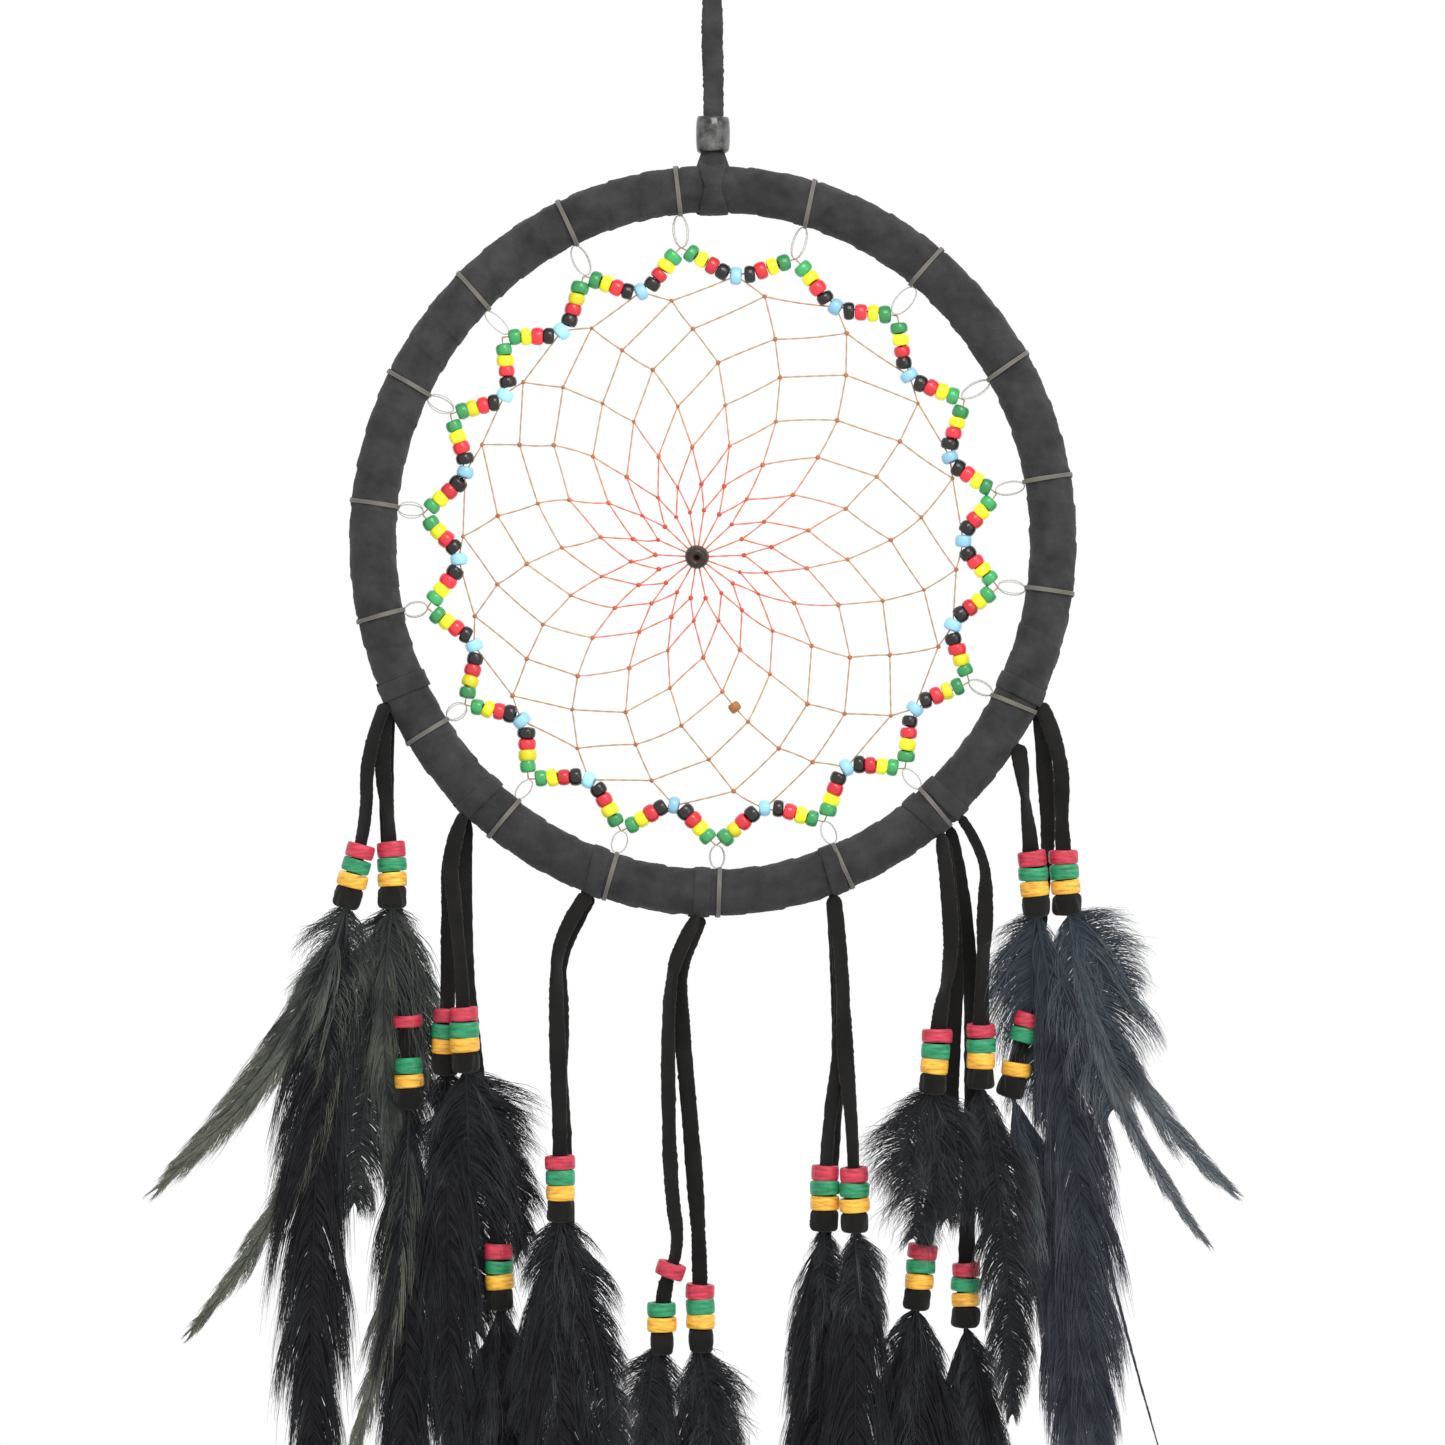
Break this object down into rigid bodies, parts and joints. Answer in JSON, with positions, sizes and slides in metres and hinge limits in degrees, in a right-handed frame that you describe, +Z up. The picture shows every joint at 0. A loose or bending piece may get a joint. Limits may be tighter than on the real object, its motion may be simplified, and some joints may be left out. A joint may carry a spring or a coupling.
{
  "type": "dream catcher",
  "caption": "Suede-wound hoop with a knotted thread web and a zigzag of glass beads, hung from a lace, with beaded laces and feathers swinging below.",
  "frame": {"origin": "inside top of the hanging loop, where the nail or hook bears", "axes": "+Z up, +X to the right seen from the front, +Y to the back"},
  "size_m": [0.268, 0.017, 0.501],
  "materials": {
    "black_suede": "matt suede nap",
    "smoky_bead": "polished, smoky grey",
    "hoop_core": "plain rod",
    "binding_thread": "waxed thread",
    "web_thread": "twisted waxed thread",
    "brown_bead": "polished",
    "green_glass": "opaque, glossy",
    "yellow_glass": "opaque, glossy",
    "red_glass": "opaque, glossy",
    "black_glass": "opaque, glossy",
    "blue_glass": "opaque, glossy",
    "red_wood": "stained and varnished",
    "green_wood": "stained and varnished",
    "yellow_wood": "stained and varnished",
    "feather": "barbed, slight sheen"
  },
  "bodies": {
    "hanger": {"hanger_loop": "black_suede", "loop_knot": "black_suede", "hanger_lace": "black_suede"},
    "barrel_bead": {"hanger_bead": "smoky_bead"},
    "knot": {"hoop_knot": "black_suede"},
    "hoop": {"hoop_core": "hoop_core", "suede_wrap": "black_suede", "binding_threads": "binding_thread", "web_thread": "web_thread", "bead_thread": "web_thread", "web_beads": "brown_bead", "lace_hitches": "black_suede", "green_seed_beads": "green_glass", "yellow_seed_beads": "yellow_glass", "red_seed_beads": "red_glass", "black_seed_beads": "black_glass", "blue_seed_beads": "blue_glass"},
    "group_1": {"laces_1": "black_suede", "quill_bindings_1": "black_suede", "feathers_1": "feather", "yellow_wood_beads_1": "yellow_wood", "green_wood_beads_1": "green_wood", "red_wood_beads_1": "red_wood"},
    "group_2": {"laces_2": "black_suede", "quill_bindings_2": "black_suede", "feathers_2": "feather", "yellow_wood_beads_2": "yellow_wood", "green_wood_beads_2": "green_wood", "red_wood_beads_2": "red_wood"},
    "group_3": {"laces_3": "black_suede", "quill_bindings_3": "black_suede", "feathers_3": "feather", "yellow_wood_beads_3": "yellow_wood", "green_wood_beads_3": "green_wood", "red_wood_beads_3": "red_wood"},
    "group_4": {"laces_4": "black_suede", "quill_bindings_4": "black_suede", "feathers_4": "feather", "yellow_wood_beads_4": "yellow_wood", "green_wood_beads_4": "green_wood", "red_wood_beads_4": "red_wood"},
    "group_5": {"laces_5": "black_suede", "quill_bindings_5": "black_suede", "feathers_5": "feather", "yellow_wood_beads_5": "yellow_wood", "green_wood_beads_5": "green_wood", "red_wood_beads_5": "red_wood"},
    "group_6": {"laces_6": "black_suede", "quill_bindings_6": "black_suede", "feathers_6": "feather", "yellow_wood_beads_6": "yellow_wood", "green_wood_beads_6": "green_wood", "red_wood_beads_6": "red_wood"},
    "group_7": {"laces_7": "black_suede", "quill_bindings_7": "black_suede", "feathers_7": "feather", "yellow_wood_beads_7": "yellow_wood", "green_wood_beads_7": "green_wood", "red_wood_beads_7": "red_wood"},
    "loose_bead": {"loose_red_bead": "red_wood"}
  },
  "joints": [
    {"name": "barrel_bead_slide", "type": "slide", "parent": "hanger", "child": "barrel_bead", "axis": [0, 0, 1], "range_m": [0, 0.0345]},
    {"name": "lace_twist", "type": "hinge", "parent": "hanger", "child": "knot", "pos_m": [0, 0, -0.073], "axis": [0, 0, 1], "range_deg": [-180, 180], "stiffness_Nm_per_rad": 0.001},
    {"name": "hoop_nod", "type": "hinge", "parent": "knot", "child": "hoop", "pos_m": [0, 0, -0.0821], "axis": [1, 0, 0], "range_deg": [-35, 35]},
    {"name": "group_1_swing", "type": "hinge", "parent": "hoop", "child": "group_1", "pos_m": [-0.084, 0, -0.2095], "axis": [1, 0, 0], "range_deg": [-40, 40]},
    {"name": "group_2_swing", "type": "hinge", "parent": "hoop", "child": "group_2", "pos_m": [-0.0645, 0, -0.2385], "axis": [1, 0, 0], "range_deg": [-40, 40]},
    {"name": "group_3_swing", "type": "hinge", "parent": "hoop", "child": "group_3", "pos_m": [-0.03075, 0, -0.25265], "axis": [1, 0, 0], "range_deg": [-40, 40]},
    {"name": "group_4_swing", "type": "hinge", "parent": "hoop", "child": "group_4", "pos_m": [-0.00325, 0, -0.25784], "axis": [1, 0, 0], "range_deg": [-40, 40]},
    {"name": "group_5_swing", "type": "hinge", "parent": "hoop", "child": "group_5", "pos_m": [0.031, 0, -0.25234], "axis": [1, 0, 0], "range_deg": [-40, 40]},
    {"name": "group_6_swing", "type": "hinge", "parent": "hoop", "child": "group_6", "pos_m": [0.062, 0, -0.24], "axis": [1, 0, 0], "range_deg": [-40, 40]},
    {"name": "group_7_swing", "type": "hinge", "parent": "hoop", "child": "group_7", "pos_m": [0.083, 0, -0.2095], "axis": [1, 0, 0], "range_deg": [-40, 40]},
    {"name": "loose_bead_slide", "type": "slide", "parent": "group_1", "child": "loose_bead", "axis": [-0.021, 0, 0.9998], "range_m": [-0.0075, 0.003]}
  ]
}
